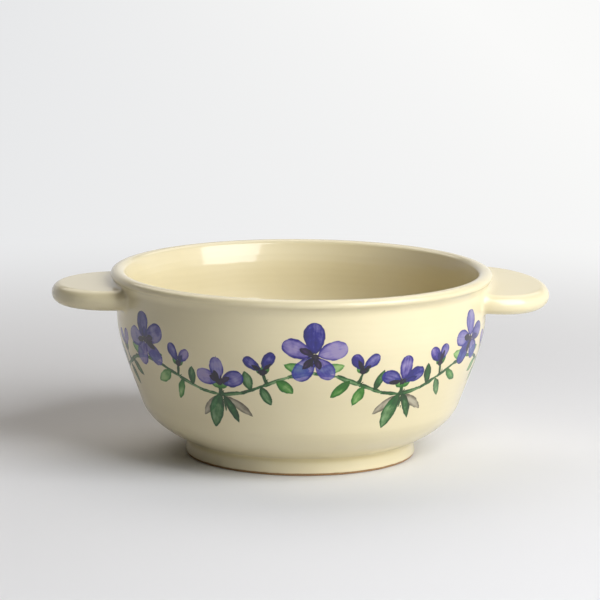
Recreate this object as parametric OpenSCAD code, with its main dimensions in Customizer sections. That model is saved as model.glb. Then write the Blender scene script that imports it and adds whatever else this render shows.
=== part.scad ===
// Lug soup bowl: a wheel-thrown bowl with a rolled rim, a turned foot ring
// and two flat rounded lugs luted on under the rim.
// The bowl stands on z = 0 with its axis on Z, and the lugs lie along X.

/* [Wall] */
// Outside diameter of the upright wall
wall_d = 131.4; // [128:0.2:136]
// Thickness of the wall from the knee up to the upright
wall_t = 4.5; // [3.5:0.1:5.5]
// Height of the upright part of the wall, below the rim
upright_h = 12.6; // [9:0.1:15]
// Amount by which the wall flares out between the knee and the upright
wall_flare = 8.8; // [7:0.1:11]
// Height of the knee
knee_z = 19.8; // [18:0.1:22]
// Steepness of the wall at the knee, in degrees
knee_angle = 71; // [66:1:76]

/* [Floor] */
// Thickness of the floor over the foot recess
floor_t = 4.2; // [3.6:0.1:5]
// Height of the foot recess under the floor
recess_h = 5.8; // [5.6:0.1:6.4]
// Steepness of the underside where it leaves the foot, in degrees
toe_angle = 24; // [18:1:34]
// Radius of the hollow between the foot and the underside
cove_r = 2; // [1.4:0.1:2.6]

/* [Rim] */
// Height of the bowl from the table to the top of the rim
bowl_h = 66.4; // [64:0.2:70]
// Amount by which the roll stands out past the wall
rim_overhang = 2.15; // [1.6:0.05:2.8]
// Width of the roll, from its inner side to its outer side
rim_w = 5.1; // [4.4:0.1:5.8]
// Height of the roll
rim_h = 3.4; // [2.8:0.1:4.2]
// Radius of the soft crease under the roll
crease_r = 4.1; // [3.2:0.1:5]

/* [Lugs] */
// Distance that each lug reaches out from the wall
lug_reach = 23.1; // [19:0.1:27]
// Diameter of the round that shapes each lug
lug_d = 44; // [40:1:50]
// Thickness of each lug
lug_t = 7; // [6:0.1:8]
// Depth of the lugs' upper faces below the rim's seat, where they meet the wall
lug_drop = 1.7; // [1.2:0.1:2.6]
// Slope of the left lug down to its tip, in degrees
left_droop = 1; // [0:0.5:5]
// Slope of the right lug down to its tip, in degrees
right_droop = 4; // [0:0.5:6]
// Slope of the left lug down to its front edge, in degrees
left_twist = 1; // [0:0.5:6]
// Slope of the right lug down to its front edge, in degrees
right_twist = 6; // [0:0.5:8]

/* [Luting] */
// Height of the clay fillet under each lug
luting_h = 2.4; // [1.6:0.1:2.8]

/* [Foot] */
// Outside diameter of the foot ring at the table
foot_d = 82; // [78:0.5:86]
// Height of the foot ring
foot_h = 4.6; // [4.2:0.1:5.2]
// Width of the foot ring
foot_w = 6; // [5:0.1:7]
// Rounding of the foot ring's bottom edges
foot_round = 0.9; // [0.5:0.1:1.2]
// Amount by which the foot ring's side leans in towards its top
foot_lean = 0.3; // [0:0.05:0.6]

/* [Hidden] */
$fn = 128;

// Steps along each curve of a section
curve_steps = 12;
arc_steps = 6;
// Overrun of the cutting forms
overrun = 1;

wall_r = wall_d / 2;
knee = [wall_r - wall_flare, knee_z];
foot_r = foot_d / 2;
foot_top_r = foot_r - foot_lean;
foot_in_r = foot_r - foot_w;
floor_z = recess_h + floor_t;

// The roll is an oval bead that is a little sunk on to the wall's top
rim_sink_share = 0.18;
rim_half_w = rim_w / 2;
rim_half_h = rim_h / 2;
rim_cx = wall_r + rim_overhang - rim_half_w;
rim_cz = bowl_h - rim_half_h;
seat_z = bowl_h - rim_h * (1 - rim_sink_share);
// Height at which the wall turns upright
wall_z = seat_z - upright_h;

// Places round the bead where it leaves its seat and where it runs into the wall's inside
rim_seat_angle = -asin(1 - 2 * rim_sink_share);
rim_flare_angle = 170;
function on_rim(angle) = [rim_cx + rim_half_w * cos(angle), rim_cz + rim_half_h * sin(angle)];
seat_r = on_rim(rim_seat_angle)[0];
// The inside of the lip carries on from the bead in a straight line
lip_run = [rim_half_w * sin(rim_flare_angle), -rim_half_h * cos(rim_flare_angle)];
lip_angle = atan2(lip_run[1], lip_run[0]);
lip = on_rim(rim_flare_angle) + lip_run * (seat_z - on_rim(rim_flare_angle)[1]) / lip_run[1];

// The crease bends the wall's top outward until it meets the bead
crease_turn = acos(1 - (seat_r - wall_r) / crease_r);
crease_z = seat_z - crease_r * sin(crease_turn);

lug_r = lug_d / 2;
lug_cx = wall_r + lug_reach - lug_r;
lug_edge_r = lug_t / 2;
lug_cz = seat_z - lug_drop - lug_edge_r;
// The luting's hollow stops short of the wall and the lug, so that its edges aren't sharp
luting_hollow_share = 0.9;

// Reach of each curve's handles, as shares of the knee's height or the upright's rise
toe_pull_share = 0.41;
knee_in_pull_share = 0.3;
knee_out_pull_share = 0.34;
wall_pull_share = 0.32;
floor_pull_share = 0.4;
// Reach of the nearly flat floor, as a share of the inside's radius at the knee
floor_flat_share = 0.68;
lip_pull_share = 0.4;

function heading(angle) = [cos(angle), sin(angle)];
function bezier(a, b, c, d, t) =
    pow(1 - t, 3) * a + 3 * pow(1 - t, 2) * t * b + 3 * (1 - t) * t * t * c + pow(t, 3) * d;
// Points of one curve, without its first point
function curve(a, b, c, d, steps) = [for (i = [1:steps]) bezier(a, b, c, d, i / steps)];
function arc(centre, r, from, to, steps) =
    [for (i = [0:steps]) centre + r * heading(from + (to - from) * i / steps)];

// Outside of the bowl, from the foot's seat up to the rim's seat
toe_arc = arc([foot_top_r + cove_r, foot_h], cove_r, 180, 90 + toe_angle, arc_steps);
toe = toe_arc[arc_steps];
outside = concat(
    toe_arc,
    curve(toe,
          toe + toe_pull_share * knee_z * heading(toe_angle),
          knee - knee_in_pull_share * knee_z * heading(knee_angle),
          knee, curve_steps),
    curve(knee,
          knee + knee_out_pull_share * (wall_z - knee_z) * heading(knee_angle),
          [wall_r, wall_z - wall_pull_share * (wall_z - knee_z)],
          [wall_r, wall_z], curve_steps),
    arc([wall_r + crease_r, crease_z], crease_r, 180, 180 - crease_turn, arc_steps)
);

// Inside of the bowl, from the middle of the floor up to the rim's seat
inner_knee = knee + wall_t * [-sin(knee_angle), cos(knee_angle)];
inner_top = [wall_r - wall_t, wall_z];
inner_rise = inner_top[1] - inner_knee[1];
inside = concat(
    [[0, floor_z]],
    curve([0, floor_z],
          [floor_flat_share * inner_knee[0], floor_z],
          inner_knee - floor_pull_share * knee_z * heading(knee_angle),
          inner_knee, curve_steps),
    curve(inner_knee,
          inner_knee + knee_out_pull_share * inner_rise * heading(knee_angle),
          inner_top - [0, wall_pull_share * inner_rise],
          inner_top, curve_steps),
    curve(inner_top,
          inner_top + [0, lip_pull_share * upright_h],
          lip - lip_pull_share * upright_h * heading(lip_angle),
          lip, arc_steps)
);

// Underside of the floor, from the foot's inner edge to the middle of the recess
recess_round = recess_h - foot_h;
recess = concat(
    arc([foot_in_r - recess_round, foot_h], recess_round, 0, 90, arc_steps),
    [[0, recess_h]]
);

function reversed(points) = [for (i = [len(points) - 1:-1:0]) points[i]];

// The bowl's outer form without its hollow, which shapes what is seated on it
module outer_form() {
    rotate_extrude()
        polygon(concat(
            [[0, foot_h]],
            outside,
            [[seat_r, bowl_h], [0, bowl_h]]
        ));
}

// The bead on its flat seat
module bead() {
    rotate_extrude()
        polygon(concat(
            [for (i = [0:2 * curve_steps])
                on_rim(rim_seat_angle + (rim_flare_angle - rim_seat_angle) * i / (2 * curve_steps))],
            [lip]
        ));
}

module bowl_body() {
    color("#EFE6C6")
        rotate_extrude()
            polygon(concat(outside, reversed(inside), reversed(recess)));
}

module rim_roll() {
    color("#F3EBCF") bead();
}

module foot_ring() {
    color("#E2D5AE")
        rotate_extrude()
            polygon(concat(
                arc([foot_in_r + foot_round, foot_round], foot_round, 180, 270, arc_steps),
                arc([foot_r - foot_round, foot_round], foot_round, 270, 360, arc_steps),
                [[foot_top_r, foot_h], [foot_in_r, foot_h]]
            ));
}

// Sets a form that is drawn round a lug's own middle on its side, sloped about the wall's edge
module beside_wall(side, droop, twist) {
    translate([side * wall_r, 0, lug_cz])
        rotate([twist, side * droop, 0])
            translate([side * (lug_cx - wall_r), 0, 0])
                children();
}

// One lug: a flat round with a full round edge, cut to sit against the wall and the rim
module lug(side, droop, twist) {
    difference() {
        beside_wall(side, droop, twist)
            rotate_extrude()
                polygon(concat(
                    [[0, -lug_edge_r]],
                    arc([lug_r - lug_edge_r, 0], lug_edge_r, -90, 90, 2 * arc_steps),
                    [[0, lug_edge_r]]
                ));
        outer_form();
        bead();
    }
}

module left_lug() {
    color("#EBE1C0") lug(-1, left_droop, left_twist);
}

module right_lug() {
    color("#EBE1C0") lug(1, right_droop, right_twist);
}

// Clay fillet in the corner under one lug, hollow towards the outside
module luting(side, droop, twist) {
    difference() {
        beside_wall(side, droop, twist)
            translate([0, 0, -lug_edge_r])
                intersection() {
                    translate([-side * lug_cx, 0, 0])
                        rotate_extrude()
                            difference() {
                                translate([wall_r - wall_t, -luting_h])
                                    square([wall_t + luting_h, luting_h]);
                                translate([wall_r + luting_h, -luting_h])
                                    circle(r = luting_h * luting_hollow_share);
                            }
                    translate([0, 0, -luting_h - overrun])
                        cylinder(r = lug_r - lug_edge_r, h = luting_h + 2 * overrun);
                }
        outer_form();
    }
}

module left_luting() {
    color("#DDD0A6") luting(-1, left_droop, left_twist);
}

module right_luting() {
    color("#DDD0A6") luting(1, right_droop, right_twist);
}

bowl_body();
rim_roll();
foot_ring();
left_lug();
right_lug();
left_luting();
right_luting();
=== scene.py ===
import math

import bmesh
import bpy
import numpy as np
from mathutils import Matrix, Vector


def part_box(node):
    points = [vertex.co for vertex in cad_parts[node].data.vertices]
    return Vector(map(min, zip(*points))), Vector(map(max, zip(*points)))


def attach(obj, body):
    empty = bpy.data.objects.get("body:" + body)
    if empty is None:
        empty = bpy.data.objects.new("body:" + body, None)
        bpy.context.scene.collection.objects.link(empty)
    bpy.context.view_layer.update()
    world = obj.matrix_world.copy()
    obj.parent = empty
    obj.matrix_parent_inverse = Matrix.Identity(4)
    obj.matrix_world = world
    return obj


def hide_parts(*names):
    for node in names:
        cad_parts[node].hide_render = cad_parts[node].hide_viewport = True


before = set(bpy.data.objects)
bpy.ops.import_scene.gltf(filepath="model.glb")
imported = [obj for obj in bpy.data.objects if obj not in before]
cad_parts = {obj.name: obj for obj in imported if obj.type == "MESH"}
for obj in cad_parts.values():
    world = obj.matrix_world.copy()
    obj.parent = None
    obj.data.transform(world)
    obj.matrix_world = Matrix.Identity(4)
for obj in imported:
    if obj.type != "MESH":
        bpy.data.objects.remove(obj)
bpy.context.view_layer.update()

# Studio: a pale seamless sheet of paper under a large soft window light from the right front,
# with a wide light high up at the back. The camera stands a little over a metre away, as a
# short telephoto does in a product photograph.


def linear(hex_colour):
    """An sRGB hex colour as linear RGBA."""
    levels = [int(hex_colour[i:i + 2], 16) / 255 for i in (1, 3, 5)]
    return tuple(v / 12.92 if v <= 0.04045 else ((v + 0.055) / 1.055) ** 2.4 for v in levels) + (1.0,)


def add(tree, kind, inputs=None, **settings):
    """Adds a node with its settings and its linked or plain inputs, and returns its outputs."""
    made = tree.nodes.new(kind)
    for key, value in settings.items():
        setattr(made, key, value)
    for key, value in (inputs or {}).items():
        if isinstance(value, bpy.types.NodeSocket):
            tree.links.new(value, made.inputs[key])
        else:
            made.inputs[key].default_value = value
    return made.outputs


MM = 0.001
camera_distance = 1.18
camera_azimuth = math.radians(-3.8)
camera_elevation = math.radians(11.15)
camera_roll = math.radians(0.52)
# Half the picture's width for each unit of the lens's length
half_frame_share = 1 / 11
# The bowl sits low in the picture, so the camera looks at a point above its middle
middle_h = 33 * MM
aim = Vector((0, 0, middle_h))
aim_rise = 21.5 * MM
aim_shift = -0.5 * MM

back = Vector((math.sin(camera_azimuth) * math.cos(camera_elevation),
               -math.cos(camera_azimuth) * math.cos(camera_elevation),
               math.sin(camera_elevation)))
place = aim + camera_distance * back
target = aim + back.to_track_quat("Z", "Y") @ Vector((aim_shift, aim_rise, 0))
camera = bpy.data.objects.new("camera", bpy.data.cameras.new("camera"))
camera.data.angle = 2 * math.atan(half_frame_share)
camera.data.clip_start = 0.05
camera.rotation_mode = "QUATERNION"
camera.rotation_quaternion = ((place - target).to_track_quat("Z", "Y")
                              @ Matrix.Rotation(camera_roll, 3, "Z").to_quaternion())
camera.location = place
bpy.context.scene.collection.objects.link(camera)
bpy.context.scene.camera = camera
bpy.context.scene.view_settings.view_transform = "Standard"

floor_mesh = bpy.data.meshes.new("floor")
# The sheet lies flat for four metres and then curves up all round, as a studio sweep does
sweep_start = 4.0
sweep_r = 1.0
sweep_top = 2.0
sweep_sides = 96
sweep_steps = 12
flat_ring = 0.95 * sweep_start
sweep_line = [(flat_ring, 0.0)]
sweep_line += [(sweep_start + sweep_r * math.sin(a), sweep_r * (1 - math.cos(a)))
               for a in np.linspace(0, math.pi / 2, sweep_steps + 1)]
sweep_line += [(sweep_start + sweep_r, sweep_top)]
sweep_points = [(0, 0, 0)] + [(r * math.cos(a), r * math.sin(a), z) for r, z in sweep_line
                              for a in np.linspace(0, math.tau, sweep_sides, endpoint=False)]
sweep_faces = [(0, 1 + j, 1 + (j + 1) % sweep_sides) for j in range(sweep_sides)]
for ring_start in range(1, 1 + sweep_sides * (len(sweep_line) - 1), sweep_sides):
    for j in range(sweep_sides):
        a, b = ring_start + j, ring_start + (j + 1) % sweep_sides
        sweep_faces.append((a, a + sweep_sides, b + sweep_sides, b))
floor_mesh.from_pydata(sweep_points, [], sweep_faces)
floor_mesh.shade_smooth()
floor = bpy.data.objects.new("floor", floor_mesh)
bpy.context.scene.collection.objects.link(floor)
# Matt paper: an even pale grey with no gloss, which carries the bowl's soft shadow
paper = bpy.data.materials.new("matt paper sheet")
paper.use_nodes = True
paper_tree = paper.node_tree
sheet = paper_tree.nodes["Principled BSDF"]
sheet.inputs["Base Color"].default_value = linear("#E2E2E3")
sheet.inputs["Roughness"].default_value = 0.9
sheet.inputs["Specular IOR Level"].default_value = 0.1
# Away from the bowl the sheet shows a pale glow, with painted window light: a little brighter towards the
# window
lit_r = 0.16
shown_r = 0.5
brighter_over = 0.26
sheet_place = add(paper_tree, "ShaderNodeTexCoord")["Object"]
sheet_x = add(paper_tree, "ShaderNodeSeparateXYZ", {0: sheet_place})["X"]
away = add(paper_tree, "ShaderNodeVectorMath", {0: sheet_place}, operation="LENGTH")["Value"]
far_share = add(paper_tree, "ShaderNodeMapRange", {0: away, 1: lit_r, 2: shown_r},
                interpolation_type="SMOOTHSTEP")[0]
# Painted light: the glow's colour grows brighter across the sheet towards the window
painted_window_light_share = add(paper_tree, "ShaderNodeMapRange", {0: sheet_x, 1: -brighter_over, 2: brighter_over})[0]
pale = add(paper_tree, "ShaderNodeMix", {0: painted_window_light_share, 6: linear("#E2E3E5"), 7: linear("#FAFAF9")},
           data_type="RGBA")[2]
glow = add(paper_tree, "ShaderNodeEmission", {"Color": pale, "Strength": 1.0})[0]


def seen_ray(tree):
    """1 for rays that show a background: from the camera, a reflection or through glass."""
    rays = add(tree, "ShaderNodeLightPath")
    shown = add(tree, "ShaderNodeMath", {0: rays["Is Camera Ray"], 1: rays["Is Glossy Ray"]},
                operation="MAXIMUM")[0]
    return add(tree, "ShaderNodeMath", {0: shown, 1: rays["Is Transmission Ray"]}, operation="MAXIMUM")[0]


shown_share = add(paper_tree, "ShaderNodeMath", {0: far_share, 1: seen_ray(paper_tree)},
                  operation="MULTIPLY")[0]
shown_sheet = add(paper_tree, "ShaderNodeMixShader", {0: shown_share, 1: sheet.outputs[0], 2: glow})[0]
paper_tree.links.new(shown_sheet, paper_tree.nodes["Material Output"].inputs["Surface"])
floor_mesh.materials.append(paper)

# The room gives almost no light, and is pale grey where it is seen or mirrored
world = bpy.data.worlds.new("studio")
bpy.context.scene.world = world
world.use_nodes = True
world_tree = world.node_tree
fill = world_tree.nodes["Background"]
fill.inputs["Color"].default_value = linear("#FFF8EC")
fill.inputs["Strength"].default_value = 0.005
sky = add(world_tree, "ShaderNodeBackground", {"Color": linear("#E9E9EA"), "Strength": 0.3})[0]
both = add(world_tree, "ShaderNodeMixShader", {0: seen_ray(world_tree), 1: fill.outputs[0], 2: sky})[0]
world_tree.links.new(both, world_tree.nodes["World Output"].inputs["Surface"])


def lamp(name, azimuth, elevation, distance, size, power, tint):
    """A rectangular area light that faces the bowl. Its azimuth turns from the front to the right."""
    a, e = math.radians(azimuth), math.radians(elevation)
    direction = Vector((math.sin(a) * math.cos(e), -math.cos(a) * math.cos(e), math.sin(e)))
    light = bpy.data.lights.new(name, "AREA")
    light.shape = "RECTANGLE"
    light.size, light.size_y = size
    light.energy = power
    light.color = linear(tint)[:3]
    lit = bpy.data.objects.new(name, light)
    lit.location = aim + distance * direction
    lit.rotation_mode = "QUATERNION"
    lit.rotation_quaternion = direction.to_track_quat("Z", "Y")
    bpy.context.scene.collection.objects.link(lit)


lamp("window light", azimuth=48.5, elevation=31, distance=1.0, size=(0.78, 1.0), power=15.5, tint="#FAFCFF")
lamp("high back light", azimuth=180, elevation=55, distance=1.9, size=(2.4, 1.6), power=20.0, tint="#FFF9F2")

# Bowl body: wheel-thrown stoneware, turned to a curved wall with a tight knee low down, and
# dipped in a cream gloss glaze. Its flowers are brushed on under the glaze with oxide
# colours, in a garland of five-petalled blossoms on a waving stem.


def heading(degrees):
    """The unit vector at an angle in a section's plane."""
    return np.array([math.cos(math.radians(degrees)), math.sin(math.radians(degrees))])


def bezier(a, b, c, d, steps=60):
    """Points along a cubic curve."""
    t = np.linspace(0, 1, steps + 1)[:, None]
    a, b, c, d = (np.asarray(p, float) for p in (a, b, c, d))
    return (1 - t) ** 3 * a + 3 * (1 - t) ** 2 * t * b + 3 * (1 - t) * t * t * c + t ** 3 * d


def arc(centre, radius, start, end, steps=24):
    """Points along a round of a section, between two angles in degrees."""
    return np.array([np.asarray(centre) + radius * heading(a) for a in np.linspace(start, end, steps + 1)])


def evenly(points, spacing):
    """The same line with points at an even spacing."""
    points = np.asarray(points, float)
    run = np.concatenate([[0], np.cumsum(np.linalg.norm(np.diff(points, axis=0), axis=1))])
    stops = np.linspace(0, run[-1], max(2, math.ceil(run[-1] / spacing)) + 1)
    return np.column_stack([np.interp(stops, run, points[:, 0]), np.interp(stops, run, points[:, 1])])


def joined(*lines):
    """One line from several, without the points that two of them share."""
    kept = [lines[0]]
    for line in lines[1:]:
        kept.append(line[1:] if np.allclose(line[0], kept[-1][-1], atol=1e-6) else line)
    return np.vstack(kept)


# A node group swings a section round Z into one closed surface, as clay is turned on a wheel
turned_ware = bpy.data.node_groups.new("turned ware", "GeometryNodeTree")
turned_inputs = {}
for label, kind in (("Section", "NodeSocketObject"), ("Divisions", "NodeSocketInt"),
                    ("Clay", "NodeSocketMaterial")):
    socket = turned_ware.interface.new_socket(label, in_out="INPUT", socket_type=kind)
    turned_inputs[label] = socket.identifier
turned_ware.interface.new_socket("Geometry", in_out="OUTPUT", socket_type="NodeSocketGeometry")
given = add(turned_ware, "NodeGroupInput")
section_line = add(turned_ware, "GeometryNodeObjectInfo", {"Object": given["Section"]})["Geometry"]
rows = add(turned_ware, "GeometryNodeAttributeDomainSize", {"Geometry": section_line},
           component="MESH")["Point Count"]
columns = add(turned_ware, "ShaderNodeMath", {0: given["Divisions"], 1: 1}, operation="ADD")[0]
sheet_mesh = add(turned_ware, "GeometryNodeMeshGrid", {"Vertices X": columns, "Vertices Y": rows})["Mesh"]
index = add(turned_ware, "GeometryNodeInputIndex")[0]
row = add(turned_ware, "ShaderNodeMath", {0: index, 1: rows}, operation="MODULO")[0]
turns = add(turned_ware, "ShaderNodeMath", {0: index, 1: rows}, operation="DIVIDE")[0]
column = add(turned_ware, "ShaderNodeMath", {0: turns}, operation="FLOOR")[0]
share = add(turned_ware, "ShaderNodeMath", {0: column, 1: given["Divisions"]}, operation="DIVIDE")[0]
angle = add(turned_ware, "ShaderNodeMath", {0: share, 1: math.tau}, operation="MULTIPLY")[0]
line_place = add(turned_ware, "GeometryNodeInputPosition")[0]
on_line = add(turned_ware, "GeometryNodeSampleIndex",
              {"Geometry": section_line, "Value": line_place, "Index": row},
              data_type="FLOAT_VECTOR")["Value"]
swung = add(turned_ware, "ShaderNodeVectorRotate", {"Vector": on_line, "Axis": (0, 0, 1), "Angle": angle})[0]
shaped = add(turned_ware, "GeometryNodeSetPosition", {"Geometry": sheet_mesh, "Position": swung})[0]
closed = add(turned_ware, "GeometryNodeMergeByDistance", {"Geometry": shaped, "Distance": 1e-7})[0]
softened = add(turned_ware, "GeometryNodeSetShadeSmooth", {"Geometry": closed})[0]
real = add(turned_ware, "GeometryNodeRealizeInstances", {"Geometry": softened})[0]
dressed = add(turned_ware, "GeometryNodeSetMaterial", {"Geometry": real, "Material": given["Clay"]})[0]
add(turned_ware, "NodeGroupOutput", {"Geometry": dressed})


def outward(mesh):
    """Turns the faces of a closed mesh outwards."""
    work = bmesh.new()
    work.from_mesh(mesh)
    bmesh.ops.recalc_face_normals(work, faces=work.faces)
    work.to_mesh(mesh)
    work.free()


def turned(name, section, divisions, material):
    """A solid of revolution from a section in millimetres."""
    line = bpy.data.meshes.new("section")
    line.from_pydata([(r * MM, 0, z * MM) for r, z in section], [], [])
    holder = bpy.data.objects.new("section", line)
    carrier = bpy.data.objects.new("carrier", bpy.data.meshes.new("carrier"))
    bpy.context.scene.collection.objects.link(holder)
    bpy.context.scene.collection.objects.link(carrier)
    wheel = carrier.modifiers.new("wheel", "NODES")
    wheel.node_group = turned_ware
    wheel[turned_inputs["Section"]] = holder
    wheel[turned_inputs["Divisions"]] = divisions
    wheel[turned_inputs["Clay"]] = material
    ready = carrier.evaluated_get(bpy.context.evaluated_depsgraph_get())
    mesh = bpy.data.meshes.new_from_object(ready)
    mesh.name = name
    bpy.data.objects.remove(carrier)
    bpy.data.objects.remove(holder)
    outward(mesh)
    piece = bpy.data.objects.new(name, mesh)
    bpy.context.scene.collection.objects.link(piece)
    return piece


# Millimetre sizes of the thrown form, taken from the frame where it has them
rim_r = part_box("rim_roll")[1].y / MM
crest_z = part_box("rim_roll")[1].z / MM
seat_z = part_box("bowl_body")[1].z / MM
foot_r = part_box("foot_ring")[1].x / MM
foot_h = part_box("foot_ring")[1].z / MM
rim_overhang = 2.15
rim_half_w = 2.55
rim_half_h = 1.7
foot_lean = 0.3
foot_w = 6.0
wall_t = 4.5
wall_flare = 8.8
upright_h = 12.6
knee_z = 19.8
knee_angle = 71
toe_angle = 24
cove_r = 2.0
recess_h = 5.8
floor_z = 10.0
# Where the bead runs into the wall's inside, and how steeply that leads up to the bead
flare_angle = 170
lip_angle = 75
# Reach of each curve's handles, as shares of the knee's height or the upright's rise
toe_pull = 0.41
knee_in_pull = 0.3
knee_out_pull = 0.34
wall_pull = 0.32
floor_pull = 0.4
lip_pull = 0.4
# Reach of the nearly flat floor, as a share of the inside's radius at the knee
floor_flat = 0.68

wall_r = rim_r - rim_overhang
wall_z = seat_z - upright_h
knee = np.array([wall_r - wall_flare, knee_z])
bead = np.array([rim_r - rim_half_w, crest_z - rim_half_h])
flare = bead + [rim_half_w * heading(flare_angle)[0], rim_half_h * heading(flare_angle)[1]]
lip = flare + heading(lip_angle) * (seat_z - flare[1]) / heading(lip_angle)[1]

toe_start = np.array([foot_r - foot_lean, foot_h])
toe_arc = arc(toe_start + [cove_r, 0], cove_r, 180, 90 + toe_angle)
rise = wall_z - knee_z
outside = joined(
    toe_arc,
    bezier(toe_arc[-1], toe_arc[-1] + toe_pull * knee_z * heading(toe_angle),
           knee - knee_in_pull * knee_z * heading(knee_angle), knee),
    bezier(knee, knee + knee_out_pull * rise * heading(knee_angle),
           (wall_r, wall_z - wall_pull * rise), (wall_r, wall_z)),
)
inner_knee = knee + wall_t * heading(knee_angle + 90)
inner_top = np.array([wall_r - wall_t, wall_z])
inner_rise = wall_z - inner_knee[1]
inside = joined(
    bezier((0, floor_z), (floor_flat * inner_knee[0], floor_z),
           inner_knee - floor_pull * knee_z * heading(knee_angle), inner_knee),
    bezier(inner_knee, inner_knee + knee_out_pull * inner_rise * heading(knee_angle),
           inner_top - [0, wall_pull * inner_rise], inner_top),
    bezier(inner_top, inner_top + [0, lip_pull * upright_h],
           lip - lip_pull * upright_h * heading(lip_angle), lip),
)
recess_round = recess_h - foot_h
foot_in = foot_r - foot_w
# The soft crease bends the wall's top outward until it meets the rim's bead
crease_r = 4.1
seat_angle = -math.degrees(math.asin((bead[1] - seat_z) / rim_half_h))
seat_r = bead[0] + rim_half_w * heading(seat_angle)[0]
crease_turn = math.degrees(math.acos(1 - (seat_r - wall_r) / crease_r))
crease_z = seat_z - crease_r * math.sin(math.radians(crease_turn))

# Two pieces of one glazed surface part at a seam: each follows the surface up to the seam and
# then bows away into the clay, so that neither shows an edge
seam_under_crease = 0.4
seam_under_seat = 2.4
seam_out = crease_z - seam_under_crease
seam_in = seat_z - seam_under_seat
bow = 0.07
# Spacing of points beside a seam
fine_step = 0.25


def bowed(points, seam, side):
    """Moves points sideways into the clay by how far they lie past a seam."""
    points = np.array(points, float)
    points[:, 0] += side * bow * (points[:, 1] - seam) ** 2
    return points


def upright_line(r, low, high):
    """Points up an upright surface, a fine step apart."""
    levels = np.linspace(low, high, math.ceil((high - low) / fine_step) + 1)
    return np.column_stack([np.full(len(levels), r), levels])


def inner_line(low, high):
    """Points up the inside of the wall, a fine step apart."""
    levels = np.linspace(low, high, math.ceil((high - low) / fine_step) + 1)
    return np.column_stack([np.interp(levels, inside[:, 1], inside[:, 0]), levels])


# The body goes on a little under the rim and the foot ring, out of sight
hidden_top = seat_z - 0.4
hidden_foot = 1.0
# Spacing of the section's points in millimetres: close where it turns tightly or carries the painting
recess_step = 4.0
cove_step = 0.3
wall_step = 0.62
inside_step = 2.2
seam_clearance = 0.2
shown_inside = np.vstack([inside[inside[:, 1] < seam_in - seam_clearance], inner_line(seam_in, seam_in)])
body_section = joined(
    evenly([[0, recess_h], [foot_in - recess_round, recess_h]], recess_step),
    arc((foot_in - recess_round, foot_h), recess_round, 90, 0, steps=8),
    bowed(upright_line(foot_in, foot_h - hidden_foot, foot_h), foot_h, 1)[::-1],
    bowed(upright_line(toe_start[0], foot_h - hidden_foot, foot_h), foot_h, -1),
    evenly(toe_arc, cove_step),
    evenly(outside[len(toe_arc) - 1:], wall_step),
    upright_line(wall_r, wall_z, seam_out)[::3],
    bowed(upright_line(wall_r, seam_out, hidden_top), seam_out, -1),
    bowed(inner_line(seam_in, hidden_top), seam_in, 1)[::-1],
    evenly(shown_inside[::-1], inside_step),
)

# Cream gloss glaze over stoneware, dipped: a warm cream under a clear glassy coat that mirrors
# the window, a little uneven in thickness and deeper in colour where it has pooled, with painted shade in the
# hollow over the foot
glaze_colour = linear("#DDD1AC")
glaze_pool_and_shade = linear("#C8B880")
glaze_rough = 0.42
glaze_coat = 0.75
# Widths of the glaze's patches, throwing lines and orange peel, and the depth of its relief
cloud_width = 30 * MM
ring_gap = 2.4 * MM
ring_drift = 25 * MM
peel_width = 3 * MM
relief_depth = 0.006 * MM
# Pooled glaze and painted shade in the hollow over the foot: the band's height and half width in millimetres
foot_pool_and_shade_band = (foot_h + 0.8, 2.0)


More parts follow.
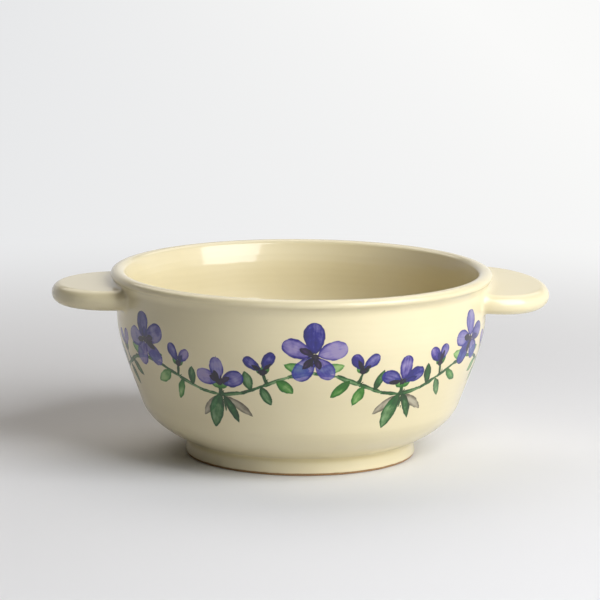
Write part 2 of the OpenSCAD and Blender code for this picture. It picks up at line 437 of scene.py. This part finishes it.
def glaze(name, pool_and_shade_bands=()):
    """A glazed material with darker bands, partly pooled glaze and partly painted shade. Returns it, its tree
    and its colour.
    """
    material = bpy.data.materials.new(name)
    material.use_nodes = True
    tree = material.node_tree
    surface = tree.nodes["Principled BSDF"]
    surface.inputs["Roughness"].default_value = glaze_rough
    surface.inputs["Specular IOR Level"].default_value = 0.4
    surface.inputs["IOR"].default_value = 1.5
    surface.inputs["Coat Weight"].default_value = glaze_coat
    surface.inputs["Coat Roughness"].default_value = 0.08
    place = add(tree, "ShaderNodeTexCoord")["Object"]
    # The glaze is a little deeper in some broad patches than in others
    cloud = add(tree, "ShaderNodeTexNoise",
                {"Vector": place, "Scale": 1 / cloud_width, "Detail": 3.0, "Roughness": 0.5})[0]
    cloud_share = add(tree, "ShaderNodeMapRange", {0: cloud, 1: 0.3, 2: 0.7, 3: 0.0, 4: 0.16})[0]
    colour = add(tree, "ShaderNodeMix", {0: cloud_share, 6: glaze_colour, 7: glaze_pool_and_shade}, data_type="RGBA")[2]
    height = add(tree, "ShaderNodeSeparateXYZ", {0: place})["Z"]
    # Each band darkens the glaze towards the pooled colour: partly pooled glaze, partly painted shade in the
    # hollow
    for level, half in pool_and_shade_bands:
        off = add(tree, "ShaderNodeMath", {0: height, 1: level * MM}, operation="SUBTRACT")[0]
        far = add(tree, "ShaderNodeMath", {0: off}, operation="ABSOLUTE")[0]
        near = add(tree, "ShaderNodeMapRange", {0: far, 1: 0.0, 2: half * MM, 3: 0.5, 4: 0.0},
                   interpolation_type="SMOOTHSTEP")[0]
        colour = add(tree, "ShaderNodeMix", {0: near, 6: colour, 7: glaze_pool_and_shade}, data_type="RGBA")[2]
    # Throwing lines, blurred by the glaze and wandering a little, and its faint orange peel
    drift = add(tree, "ShaderNodeTexNoise", {"Vector": place, "Scale": 1 / ring_drift, "Detail": 2.0})[0]
    turn = add(tree, "ShaderNodeMath", {0: height, 1: math.tau / ring_gap}, operation="MULTIPLY")[0]
    bent = add(tree, "ShaderNodeMath", {0: drift, 1: 9.0, 2: turn}, operation="MULTIPLY_ADD")[0]
    ring = add(tree, "ShaderNodeMath", {0: bent}, operation="SINE")[0]
    peel = add(tree, "ShaderNodeTexNoise", {"Vector": place, "Scale": 1 / peel_width, "Detail": 1.0})[0]
    relief = add(tree, "ShaderNodeMath", {0: peel, 1: 0.8, 2: ring}, operation="MULTIPLY_ADD")[0]
    bump = add(tree, "ShaderNodeBump", {"Height": relief, "Distance": relief_depth, "Strength": 1.0})[0]
    tree.links.new(bump, surface.inputs["Normal"])
    tree.links.new(bump, surface.inputs["Coat Normal"])
    tree.links.new(colour, surface.inputs["Base Color"])
    return material, tree, colour


# The body's band over the foot is pooled glaze and painted shade in the hollow
body_glaze, body_tree, body_colour = glaze("cream gloss glaze with brushed flowers", pool_and_shade_bands=[foot_pool_and_shade_band])
body = turned("bowl_body_glazed", body_section, divisions=500, material=body_glaze)

# Brushwork. Each stroke follows a bent line on the unrolled wall, in millimetres along and
# up the wall. The mesh carries, for each layer of strokes, where a point lies in its stroke.
painted = joined(outside, np.array([[wall_r, wall_z], [wall_r, seam_out]]))
wall_run = np.concatenate([[0], np.cumsum(np.linalg.norm(np.diff(painted, axis=0), axis=1))])
unroll_r = 63.0
girth = math.tau * unroll_r
# Layers of strokes, in the order in which they are brushed on
sage_layer = 0
stem_layer = 1
leaf_layer = 2
petal_layers = (3, 4, 3, 4, 5)
touch_layer = 6
layers = 7
spine_step = 0.35
strokes = []


def stroke(layer, x, y, angle, length, half, bend, ends, stain, load):
    """Records a brush stroke: start, direction, bend in degrees, and how pointed each end is."""
    steps = max(6, math.ceil(length / spine_step))
    s = np.linspace(0, 1, steps + 1)
    turn = np.radians(angle + bend * (s - 0.5))
    step = length / steps
    dx, dy = np.cos(turn) * step, np.sin(turn) * step
    spine = np.column_stack([x + np.concatenate([[0], np.cumsum((dx[1:] + dx[:-1]) / 2)]),
                             y + np.concatenate([[0], np.cumsum((dy[1:] + dy[:-1]) / 2)])])
    e1, e2 = ends
    peak = e1 / (e1 + e2)
    full = half / (peak ** e1 * (1 - peak) ** e2)
    strokes.append((layer, spine, turn, length, full, e1, e2, linear(stain)[:3], load))


indigo = "#36329A"
violet = "#4C3A9E"
plum = "#421D58"
leaf_green = "#247A38"
moss_green = "#569A3C"
sage_grey = "#928B7A"
petal_ends = (0.66, 0.46)
leaf_ends = (0.75, 0.8)
stem_ends = (0.12, 0.3)
petal_angle = 72
petal_lean = 22
rng = np.random.default_rng(7)


def blossom(x, y, size, tilt, petals=(0, 1, 2, 3, 4)):
    """Petals round a dark middle, each with a darker touch at its root."""
    for i in petals:
        angle = tilt + petal_angle * i + rng.uniform(-7, 7)
        reach = size * rng.uniform(0.9, 1.1)
        root = 0.8 * heading(angle)
        stroke(petal_layers[i], x + root[0], y + root[1], angle, reach, size * rng.uniform(0.3, 0.36),
               rng.uniform(-petal_lean, petal_lean), petal_ends,
               indigo if rng.random() < 0.6 else violet, rng.uniform(0.0, 0.9))
        if rng.random() < 0.75:
            lean = rng.uniform(-petal_lean, petal_lean)
            stroke(touch_layer, x + 1.2 * root[0], y + 1.2 * root[1], angle + lean,
                   reach * rng.uniform(0.35, 0.6), 0.12 * size, -lean, leaf_ends,
                   plum if rng.random() < 0.6 else indigo, rng.uniform(0.5, 1.3))
    stroke(touch_layer, x - 1.3, y, rng.uniform(-20, 20), 2.6, 1.15, 0, leaf_ends, plum, 1.0)


def leaf(layer, x, y, angle, length, half, bend, stain, load):
    """One leaf, from its stalk end."""
    stroke(layer, x, y, angle, length, half, bend, leaf_ends, stain, load)


# The garland waves six times round, and dips under each lug
wave_count = 6
wave = girth / wave_count
stem_y = 40.5
stem_sway = 5.0
stem_pulls = 8
full_size = 10.0
half_open_size = 8.6
closed_size = 6.4


def stem_at(x):
    """Height of the stem at a place along the wall. Its crests lie midway between the lugs' troughs."""
    return stem_y - stem_sway * math.cos(math.tau * x / wave)


for i in range(wave_count):
    trough, crest = i * wave, (i + 0.5) * wave
    # The waving stem is laid in short pulls of the brush
    for j in range(stem_pulls):
        a, b = trough + j * wave / stem_pulls, trough + (j + 1) * wave / stem_pulls
        stroke(stem_layer, a, stem_at(a), math.degrees(math.atan2(stem_at(b) - stem_at(a), b - a)),
               math.hypot(b - a, stem_at(b) - stem_at(a)) + 0.8, rng.uniform(0.6, 0.85), 0, stem_ends,
               leaf_green, rng.uniform(0.0, 0.5))
    # A full blossom on each crest, above two short leaves
    y = stem_at(crest)
    for side in (-1, 1):
        leaf(leaf_layer, crest + side * 1.2, y + 1.0, 90 - side * rng.uniform(70, 84),
             rng.uniform(8.0, 9.5), 2.0, side * 20, moss_green, rng.uniform(0.1, 0.7))
    blossom(crest + rng.uniform(-1, 1), y + 6.2, full_size, 90 + rng.uniform(-14, 14))
    # A half-open bud over each trough, with a cluster of long leaves hanging under it
    y = stem_at(trough)
    stroke(stem_layer, trough, y, 90, 4.6, 0.7, 0, stem_ends, leaf_green, 0.6)
    for side in (-1, 1):
        leaf(leaf_layer, trough + side * 0.3, y + 2.6, 90 - side * 38, 5.0, 1.5, -side * 15,
             moss_green, rng.uniform(0.2, 0.7))
    blossom(trough, y + 4.8, half_open_size, 90 - petal_angle + rng.uniform(-8, 8), petals=(0, 1, 2))
    leaf(leaf_layer, trough - 0.4, y + 0.4, -104 + rng.uniform(-6, 6), 14.5, 2.9, 10, leaf_green, 0.5)
    leaf(leaf_layer, trough + 0.6, y + 0.2, -62 + rng.uniform(-6, 6), 12.0, 1.7, -16, leaf_green, 0.9)
    leaf(sage_layer, trough - 0.6, y - 0.4, -139 + rng.uniform(-6, 6), 12.0, 1.7, 14, sage_grey, 0.3)
    leaf(sage_layer, trough + 1.0, y - 0.4, -34 + rng.uniform(-6, 6), 12.5, 1.7, -14, sage_grey, 0.3)
    # Leaves along the slopes of the stem
    for share, lean in ((0.17, 104), (0.23, -58), (0.31, -40), (0.69, -140), (0.77, -122), (0.83, 76)):
        x = trough + share * wave
        leaf(leaf_layer, x, stem_at(x), lean + rng.uniform(-8, 8), rng.uniform(7.5, 9.5),
             rng.uniform(1.5, 2.1), rng.uniform(-18, 18),
             moss_green if rng.random() < 0.5 else leaf_green, rng.uniform(0.1, 0.9))
    # A closed bud on a short stalk, either side of the blossom
    for share, side in ((0.26, 1), (0.74, -1)):
        x = trough + share * wave
        y = stem_at(x)
        stroke(stem_layer, x, y, 90 + side * 14, 4.6, 0.6, 0, stem_ends, leaf_green, 0.7)
        x, y = x - side * 1.1, y + 4.4
        for turn in (-1, 1):
            leaf(leaf_layer, x, y - 0.4, 90 + turn * 34, 3.8, 1.1, -turn * 20, moss_green,
                 rng.uniform(0.3, 0.8))
        blossom(x, y + 0.6, closed_size, 54 + side * 10, petals=(0, 1))

# Each point of the mesh that lies on the outside keeps, for each layer, the stroke it is deepest in
off_wall = 0.25
clear_of_foot = 1.0
past_seam = 0.5
unpainted = -4
margin = 1.6
co = np.zeros(len(body.data.vertices) * 3)
body.data.vertices.foreach_get("co", co)
co = co.reshape(-1, 3) / MM
reach = np.hypot(co[:, 0], co[:, 1])
outer = np.abs(reach - np.interp(co[:, 2], painted[:, 1], painted[:, 0])) < off_wall
outer &= (co[:, 2] > foot_h + clear_of_foot) & (co[:, 2] < seam_out + past_seam)
unrolled = np.column_stack([np.arctan2(co[:, 1], co[:, 0]) % math.tau * unroll_r,
                            np.interp(co[:, 2], painted[:, 1], wall_run)])
where = np.zeros((layers, len(co), 3), np.float32)
touch = np.zeros((layers, len(co), 3), np.float32)
stains = np.zeros((layers, len(co), 4), np.float32)
touch[:, :, 2] = unpainted
for layer, spine, turn, length, full, e1, e2, stain, load in strokes:
    local = unrolled - spine.mean(0)
    local[:, 0] = (local[:, 0] + girth / 2) % girth - girth / 2
    span = np.abs(spine - spine.mean(0)).max(0) + full + margin
    picked = np.flatnonzero(outer & (np.abs(local) < span).all(1))
    off = local[picked][:, None, :] - (spine - spine.mean(0))[None]
    nearest = (off ** 2).sum(2).argmin(1)
    off = off[np.arange(len(picked)), nearest]
    along_dir = np.column_stack([np.cos(turn), np.sin(turn)])[nearest]
    along = nearest / (len(spine) - 1) + (off * along_dir).sum(1) / length
    across = off[:, 1] * along_dir[:, 0] - off[:, 0] * along_dir[:, 1]
    held = np.clip(along, 1e-6, 1 - 1e-6)
    edge = full * held ** e1 * (1 - held) ** e2 - np.abs(across) - length * np.abs(along - held)
    better = edge > touch[layer, picked, 2]
    hit = picked[better]
    where[layer, hit] = np.column_stack([along, across, np.full(len(along), full)])[better]
    touch[layer, hit] = np.column_stack([np.full(len(along), e1), np.full(len(along), e2), edge])[better]
    stains[layer, hit] = (*stain, load)
for k in range(layers):
    for word, kind, field, values in (("where", "FLOAT_VECTOR", "vector", where),
                                      ("touch", "FLOAT_VECTOR", "vector", touch),
                                      ("stain", "FLOAT_COLOR", "color", stains)):
        kept = body.data.attributes.new(f"{word}_{k}", kind, "POINT")
        kept.data.foreach_set(field, values[k].ravel())

# The colour lies in watery patches
patch_width = 3.2 * MM
patch_place = add(body_tree, "ShaderNodeTexCoord")["Object"]
wash = add(body_tree, "ShaderNodeTexNoise",
           {"Vector": patch_place, "Scale": 1 / patch_width, "Detail": 2.0})[0]
washed = add(body_tree, "ShaderNodeMath", {0: wash, 1: -0.5}, operation="ADD")[0]
for k in range(layers):
    seen = add(body_tree, "ShaderNodeAttribute", attribute_name=f"where_{k}")["Vector"]
    along, across, full = add(body_tree, "ShaderNodeSeparateXYZ", {0: seen})
    pressed = add(body_tree, "ShaderNodeAttribute", attribute_name=f"touch_{k}")["Vector"]
    e1, e2, gate = add(body_tree, "ShaderNodeSeparateXYZ", {0: pressed})
    stain = add(body_tree, "ShaderNodeAttribute", attribute_name=f"stain_{k}")
    begun = add(body_tree, "ShaderNodeClamp", {0: along, 1: 0.0, 2: 1.0})[0]
    left = add(body_tree, "ShaderNodeMath", {0: 1.0, 1: begun}, operation="SUBTRACT")[0]
    swell = add(body_tree, "ShaderNodeMath", {0: begun, 1: e1}, operation="POWER")[0]
    lift = add(body_tree, "ShaderNodeMath", {0: left, 1: e2}, operation="POWER")[0]
    width = add(body_tree, "ShaderNodeMath", {0: swell, 1: lift}, operation="MULTIPLY")[0]
    width = add(body_tree, "ShaderNodeMath", {0: width, 1: full}, operation="MULTIPLY")[0]
    side = add(body_tree, "ShaderNodeMath", {0: across}, operation="ABSOLUTE")[0]
    depth = add(body_tree, "ShaderNodeMath", {0: width, 1: side}, operation="SUBTRACT")[0]
    # Bristle marks run along the stroke, about 0.7 mm apart
    bristle_place = add(body_tree, "ShaderNodeCombineXYZ", {0: along, 1: across, 2: full})[0]
    stretched = add(body_tree, "ShaderNodeVectorMath", {0: bristle_place, 1: (1.8, 1.5, 7.0)},
                    operation="MULTIPLY")[0]
    bristle = add(body_tree, "ShaderNodeTexNoise", {"Vector": stretched, "Scale": 1.0, "Detail": 3.0})[0]
    ragged = add(body_tree, "ShaderNodeMath", {0: bristle, 1: -0.5}, operation="ADD")[0]
    # Bristles and water make the stroke's edge uneven, by less than a millimetre
    depth = add(body_tree, "ShaderNodeMath", {0: ragged, 1: 0.5, 2: depth}, operation="MULTIPLY_ADD")[0]
    depth = add(body_tree, "ShaderNodeMath", {0: washed, 1: 0.9, 2: depth}, operation="MULTIPLY_ADD")[0]
    ink = add(body_tree, "ShaderNodeMapRange", {0: depth, 1: -0.08, 2: 0.14},
              interpolation_type="SMOOTHSTEP")[0]
    open_gate = add(body_tree, "ShaderNodeMapRange", {0: gate, 1: -0.7, 2: -0.4})[0]
    ink = add(body_tree, "ShaderNodeMath", {0: ink, 1: open_gate}, operation="MULTIPLY")[0]
    # Colour gathers along the edges and where the brush first lands
    rim_pool = add(body_tree, "ShaderNodeMapRange", {0: depth, 1: 0.0, 2: 1.1, 3: 0.75, 4: 0.0})[0]
    landing = add(body_tree, "ShaderNodeMapRange", {0: along, 1: 0.0, 2: 0.6, 3: 0.5, 4: 0.0})[0]
    body_of_colour = add(body_tree, "ShaderNodeMath", {0: ragged, 1: 0.9, 2: stain["Alpha"]},
                         operation="MULTIPLY_ADD")[0]
    body_of_colour = add(body_tree, "ShaderNodeMath", {0: washed, 1: 1.7, 2: body_of_colour},
                         operation="MULTIPLY_ADD")[0]
    # One side of the brush carries more colour
    loaded = add(body_tree, "ShaderNodeMath", {0: across, 1: full}, operation="DIVIDE")[0]
    body_of_colour = add(body_tree, "ShaderNodeMath", {0: loaded, 1: 0.3, 2: body_of_colour},
                         operation="MULTIPLY_ADD")[0]
    gathered = add(body_tree, "ShaderNodeMath", {0: rim_pool, 1: landing}, operation="ADD")[0]
    gathered = add(body_tree, "ShaderNodeMath", {0: gathered, 1: body_of_colour}, operation="ADD")[0]
    strength = add(body_tree, "ShaderNodeMapRange", {0: gathered, 1: 0.2, 2: 1.6, 3: 0.9, 4: 2.1})[0]
    colour = add(body_tree, "ShaderNodeGamma", {0: stain["Color"], 1: strength})[0]
    # Thin colour lets the cream show through
    opaque = add(body_tree, "ShaderNodeMapRange", {0: gathered, 1: 0.0, 2: 0.9, 3: 0.72, 4: 0.99})[0]
    cover = add(body_tree, "ShaderNodeMath", {0: ink, 1: opaque}, operation="MULTIPLY")[0]
    body_colour = add(body_tree, "ShaderNodeMix", {0: cover, 6: body_colour, 7: colour}, data_type="RGBA")[2]
body_tree.links.new(body_colour, body_tree.nodes["Principled BSDF"].inputs["Base Color"])
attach(body, "root")
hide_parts("bowl_body")

# Rim: the lip rolled outward into a low oval bead while the clay was soft, with a soft crease
# under it. The glaze runs over it in one coat with the wall, so no line shows at either side.
crease_arc = arc((wall_r + crease_r, crease_z), crease_r, 180, 180 - crease_turn, steps=16)
bead_line = np.array([bead + [rim_half_w * heading(a)[0], rim_half_h * heading(a)[1]]
                      for a in np.linspace(seat_angle, flare_angle, num=72)])
# The rim's skirts run down past the seams, into the clay of the wall
skirt = 1.2
lip_step = 0.4
hidden_step = 1.0
outer_skirt = bowed(upright_line(wall_r, seam_out - skirt, seam_out), seam_out, -1)
inner_skirt = bowed(inner_line(seam_in - skirt, seam_in), seam_in, 1)
rim_section = joined(
    outer_skirt,
    evenly(upright_line(wall_r, seam_out, crease_z), cove_step),
    crease_arc,
    bead_line,
    evenly([bead_line[-1], lip], lip_step),
    inner_line(seam_in, seat_z)[::-1],
    inner_skirt[::-1],
    evenly([inner_skirt[0], outer_skirt[0]], hidden_step),
)
# Dipped like the wall: the same glossy cream, which runs on from it without a line
rim_glaze = glaze("cream gloss glaze on the rim")[0]
rim = turned("rim_roll_glazed", rim_section, divisions=480, material=rim_glaze)
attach(rim, "root")
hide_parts("rim_roll")

# Foot ring: turned from the leather-hard base. The glaze was wiped off its bottom edge, so
# a thin line of bare toasted clay shows where the bowl meets the table; its dark brown is
# partly painted contact shadow.

# How far the bare clay stands back from the glaze's face, and the height of the glaze's edge
bare = 0.18
glaze_line = 0.75
inner_round = 0.9
outer_round = 0.55
sole_step = 0.6
foot_in_step = 0.5
# Handles of the side's curve, as shares of the foot's height
foot_side_low = 0.4
foot_side_high = 0.75
bare_r = foot_r - bare
foot_side = bezier((foot_r, glaze_line + bare), (foot_r, foot_side_low * foot_h),
                   (toe_start[0], foot_side_high * foot_h), toe_start, steps=24)
outer_tongue = bowed(upright_line(toe_start[0], foot_h, foot_h + hidden_foot), foot_h, -1)
inner_tongue = bowed(upright_line(foot_in, foot_h, foot_h + hidden_foot), foot_h, 1)
foot_section = joined(
    arc((foot_in + inner_round, inner_round), inner_round, 180, 270, steps=8),
    evenly([(foot_in + inner_round, 0), (bare_r - outer_round, 0)], sole_step),
    arc((bare_r - outer_round, outer_round), outer_round, 270, 360, steps=8),
    arc((bare_r, glaze_line + bare), bare, 270, 360, steps=6),
    foot_side,
    outer_tongue,
    evenly([outer_tongue[-1], inner_tongue[-1]], hidden_step),
    inner_tongue[::-1],
    evenly([(foot_in, foot_h), (foot_in, inner_round)], foot_in_step),
)
# The glaze's thick edge is wavy and shines, and the bare clay below it is a dull toasted brown,
# darkened as painted contact shadow where the foot meets the table
# Its band over the foot is pooled glaze and painted shade in the hollow
foot_glaze, foot_tree, foot_colour = glaze("cream gloss glaze wiped at the foot", pool_and_shade_bands=[foot_pool_and_shade_band])
wipe_width = 4 * MM
wipe_wander = 0.5 * MM
edge_blur = 0.15
grain_width = 0.6 * MM
clay_rough = 0.8
foot_place = add(foot_tree, "ShaderNodeTexCoord")["Object"]
foot_height = add(foot_tree, "ShaderNodeSeparateXYZ", {0: foot_place})["Z"]
wiped = add(foot_tree, "ShaderNodeTexNoise",
            {"Vector": foot_place, "Scale": 1 / wipe_width, "Detail": 3.0})[0]
wiped_height = add(foot_tree, "ShaderNodeMath", {0: wiped, 1: -wipe_wander, 2: foot_height},
                   operation="MULTIPLY_ADD")[0]
bare_share = add(foot_tree, "ShaderNodeMapRange", {0: wiped_height, 1: (glaze_line - edge_blur) * MM,
                                                   2: glaze_line * MM, 3: 1.0, 4: 0.0})[0]
clay_grain = add(foot_tree, "ShaderNodeTexNoise",
                 {"Vector": foot_place, "Scale": 1 / grain_width, "Detail": 4.0})[0]
# Painted contact shadow: these browns darken the bare clay where the foot meets the table
clay = add(foot_tree, "ShaderNodeMix", {0: clay_grain, 6: linear("#8C6A45"), 7: linear("#B08C62")},
           data_type="RGBA")[2]
foot_surface = foot_tree.nodes["Principled BSDF"]
wiped_colour = add(foot_tree, "ShaderNodeMix", {0: bare_share, 6: foot_colour, 7: clay}, data_type="RGBA")[2]
foot_tree.links.new(wiped_colour, foot_surface.inputs["Base Color"])
rough = add(foot_tree, "ShaderNodeMapRange", {0: bare_share, 3: glaze_rough, 4: clay_rough})[0]
foot_tree.links.new(rough, foot_surface.inputs["Roughness"])
coated = add(foot_tree, "ShaderNodeMapRange", {0: bare_share, 3: glaze_coat, 4: 0.0})[0]
foot_tree.links.new(coated, foot_surface.inputs["Coat Weight"])
foot = turned("foot_ring_glazed", foot_section, divisions=480, material=foot_glaze)
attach(foot, "root")
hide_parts("foot_ring")

# Lugs: two flat rounds of rolled clay with fully rounded edges, pressed on to the wall
# opposite each other just under the rim, and glazed with the bowl. Each droops and twists
# a little, as hand-set lugs do.
lug_r = 22.0
lug_edge = 3.5
lug_reach = 23.05
lug_drop = 1.7
lug_core = lug_r - lug_edge
lug_out = lug_reach - lug_r
lug_z = seat_z - lug_drop - lug_edge
# Depths inside the wall of the lug's hidden root and of the point that its rays leave from
root_in = 2.0
ray_in = 8.0
halvings = 50


def shell(name, grid, material):
    """A closed mesh from rows of points in metres. Each row is a loop."""
    rows, columns = grid.shape[:2]
    faces = []
    for i in range(rows - 1):
        for j in range(columns):
            a, b = i * columns + j, i * columns + (j + 1) % columns
            faces.append((a, b, b + columns, a + columns))
    mesh = bpy.data.meshes.new(name)
    mesh.from_pydata(grid.reshape(-1, 3).tolist(), [], faces)
    work = bmesh.new()
    work.from_mesh(mesh)
    bmesh.ops.remove_doubles(work, verts=work.verts, dist=1e-7)
    bmesh.ops.recalc_face_normals(work, faces=work.faces)
    work.to_mesh(mesh)
    work.free()
    mesh.materials.append(material)
    mesh.shade_smooth()
    piece = bpy.data.objects.new(name, mesh)
    bpy.context.scene.collection.objects.link(piece)
    return piece


def set_on(side, droop, twist, points):
    """Sets points beside the wall, from a lug's own frame: out from the wall, along it, and up."""
    turn = (Matrix.Rotation(math.radians(side * droop), 3, "Y")
            @ Matrix.Rotation(math.radians(twist), 3, "X"))
    points = np.asarray(points) * [side, 1, 1]
    return points @ np.array(turn).T + [side * wall_r, 0, lug_z]


def lug_points(columns=180, rows=141, hidden=6):
    """Sections of a lug on rays from a point inside the wall, over its top, round its edge and back."""
    root_r = wall_r - root_in
    gap = lug_out + ray_in

    def span(a):
        """How far along a ray the root and the lug's own circles lie."""
        past = (wall_r - ray_in) * math.cos(a)
        root = math.sqrt(root_r ** 2 - ((wall_r - ray_in) * math.sin(a)) ** 2) - past
        return root, lambda r: gap * math.cos(a) + np.sqrt(np.maximum(r ** 2 - (gap * math.sin(a)) ** 2, 0))

    # The widest ray is found by halving: past it, the lug's round lies inside the wall
    near, far = 0.0, math.pi / 2
    for _ in range(halvings):
        middle = (near + far) / 2
        root, reach = span(middle)
        near, far = (middle, far) if reach(lug_r) > root else (near, middle)
    grid = np.zeros((rows, columns, 3))
    for i, a in enumerate(np.linspace(-near, near, rows)):
        root, reach = span(a)
        from_middle = math.hypot(root * math.cos(a) - gap, root * math.sin(a))
        flat = float(max(reach(lug_core) - root, 0)) if from_middle < lug_core else 0.0
        open_angle = math.pi / 2 if flat > 0 else math.acos(min(1, (from_middle - lug_core) / lug_edge))
        around = lug_edge * 2 * open_angle
        # The last part of the loop goes back down inside the wall
        s = np.linspace(0, 2 * flat + around, columns - hidden)
        turn = (np.clip(s - flat, 0, around) / lug_edge) - open_angle
        out = np.where(s < flat, root + s,
                       np.where(s > flat + around, root + (2 * flat + around - s),
                                reach(lug_core + lug_edge * np.cos(turn))))
        up = lug_edge * np.sin(turn)
        back_up = np.linspace(up[-1], up[0], hidden + 2)[1:-1]
        out = np.concatenate([out, np.full(hidden, out[-1])])
        up = np.concatenate([up, back_up])
        grid[i] = np.column_stack([out * math.cos(a) - ray_in, out * math.sin(a), up])
    return grid


# Dipped with the bowl: the same glossy cream, with a broad soft highlight on the flat tops
lug_glaze = glaze("cream gloss glaze on the lugs")[0]
# Each lug's side, and its droop and twist in degrees
hand_set = (("left", -1, 1, 1), ("right", 1, 4, 6))
for word, side, droop, twist in hand_set:
    lug = shell(f"{word}_lug_glazed", set_on(side, droop, twist, lug_points()) * MM, lug_glaze)
    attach(lug, "root")
    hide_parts(f"{word}_lug")

# Luting: soft clay worked with a finger into the corner all round each lug's root, so that
# the lug flows into the wall and the rim. It is broad above, where the rim sinks into the
# lug, and tight below.

# How far the collar reaches out over the lug and climbs the wall, above the lug and below it.
# Above, it climbs to a margin under the rim's crest.
reach_high = 5.0
reach_low = 3.2
climb_low = 3.2
crest_margin = 1.1
# Depth of the collar's hidden edges in the clay, and how far they run up past its rim there
buried = 0.8
buried_climb = 0.7
# The collar's rims sink into the surface in steps: how far past, and how deep
dips = ((0.15, 0.002), (0.35, 0.012), (0.7, 0.05))
# Limits of the search for the surface: within the clay, out past the lug's root, and round it
clay_r = bead[0] - 0.4
far_out = 16.0
far_round = 0.9
skin_low = 40.0
skin_step = 0.5
skin_halvings = 40
skin = joined(evenly([[wall_r, skin_low], [wall_r, crease_z]], skin_step), crease_arc, bead_line)


def skin_distance(r, z):
    """Distance outside the wall, the crease and the rim's bead; negative inside the clay."""
    start, step = skin[:-1], np.diff(skin, axis=0)
    off = np.stack([r, z], -1)[:, None, :] - start
    t = np.clip((off * step).sum(-1) / (step ** 2).sum(-1), 0, 1)
    off = off - t[..., None] * step
    nearest = (off ** 2).sum(-1).argmin(-1)
    chosen = off[np.arange(len(r)), nearest]
    normal = np.column_stack([step[:, 1], -step[:, 0]])[nearest]
    return np.hypot(*chosen.T) * np.sign((chosen * normal).sum(-1))


def root_reached(side, droop, twist, put, near, far, wanted):
    """The last places that clear the skin by a distance, on the way in from near to far."""
    for _ in range(skin_halvings):
        middle = (near + far) / 2
        at = set_on(side, droop, twist, put(middle))
        clear = skin_distance(np.hypot(at[:, 0], at[:, 1]), at[:, 2]) > wanted
        near, far = np.where(clear, middle, near), np.where(clear, far, middle)
    return set_on(side, droop, twist, put(near)), put(near)


def luting_points(side, droop, twist, flats=60, rounds=72, steps=26):
    """Rows of points round the root, from the lug's surface through the hollow to the wall."""
    tilt = np.concatenate([np.full(flats, 90), np.linspace(90, -90, rounds + 1)[:-1],
                           np.full(flats, -90), np.linspace(-90, 90, rounds + 1)[:-1]])
    across = np.concatenate([np.linspace(-1, 1, flats + 1)[:-1], np.ones(rounds),
                             np.linspace(1, -1, flats + 1)[:-1], -np.ones(rounds)])
    up, out = np.sin(np.radians(tilt)), np.cos(np.radians(tilt))
    flat = np.abs(out) < 1e-9
    blend = np.clip(up, 0, 1)
    blend = blend * blend * (3 - 2 * blend)
    root_line = np.column_stack([0 * across, across * lug_core, 0 * across + lug_edge])
    root_top = set_on(side, droop, twist, root_line)[:, 2]
    climb_high = crest_z - crest_margin - root_top
    reach = reach_low + (reach_high - reach_low) * blend
    climb = climb_low + (climb_high - climb_low) * blend
    rows = [(0 * reach - buried, 0 * reach - buried)]
    rows += [(reach + past, 0 * reach - depth) for past, depth in dips[::-1]]
    for lean in np.linspace(1, -1, steps):
        hollow = (1 - abs(lean)) ** 3 / 6
        rows.append(((hollow + max(lean, 0)) * reach, (hollow + max(-lean, 0)) * climb))
    rows += [(0 * reach - depth, climb + past) for past, depth in dips]
    # The hidden way back runs deep in the clay, so that it stays under the crease
    rows += [(0 * reach - buried, climb + buried_climb), rows[0]]
    middle_r = wall_r + lug_out
    grid = []
    for from_wall, from_lug in rows:
        height = (lug_edge + from_lug) * up
        plan = lug_core + (lug_edge + from_lug) * out

        def round_to(plan, sign, height, wanted):
            """Places on circles round the lug's middle, in from its side to the wall."""
            inner = np.arccos((clay_r ** 2 - middle_r ** 2 - plan ** 2) / (2 * middle_r * plan))

            def put(turn):
                """Points round the lug's middle, by their turn from its tip."""
                return np.column_stack([lug_out + plan * np.cos(turn), sign * plan * np.sin(turn), height])

            return root_reached(side, droop, twist, put, 0 * inner + far_round, inner, wanted)

        # The flat faces run between the places where the rounds begin
        corner = np.array([0, 0, flats + rounds, flats + rounds])
        ends = round_to(np.full(4, lug_core), np.array([-1, 1, -1, 1]),
                        height[corner], from_wall[corner])[1][:, 1]
        low = np.where(up > 0, ends[0], ends[2])
        along = low + (np.where(up > 0, ends[1], ends[3]) - low) * (across + 1) / 2
        on_flat = root_reached(side, droop, twist, lambda x: np.column_stack([x, along, height]),
                               0 * along + far_out, np.sqrt(clay_r ** 2 - along ** 2) - wall_r, from_wall)[0]
        grid.append(np.where(flat[:, None], on_flat, round_to(plan, across, height, from_wall)[0]))
    return np.array(grid)


# Dipped with the bowl: the same glossy cream, drawn smooth through the hollow
luting_glaze = glaze("cream gloss glaze in the luting")[0]
for word, side, droop, twist in hand_set:
    luting = shell(f"{word}_luting_glazed", luting_points(side, droop, twist) * MM, luting_glaze)
    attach(luting, "root")
    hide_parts(f"{word}_luting")
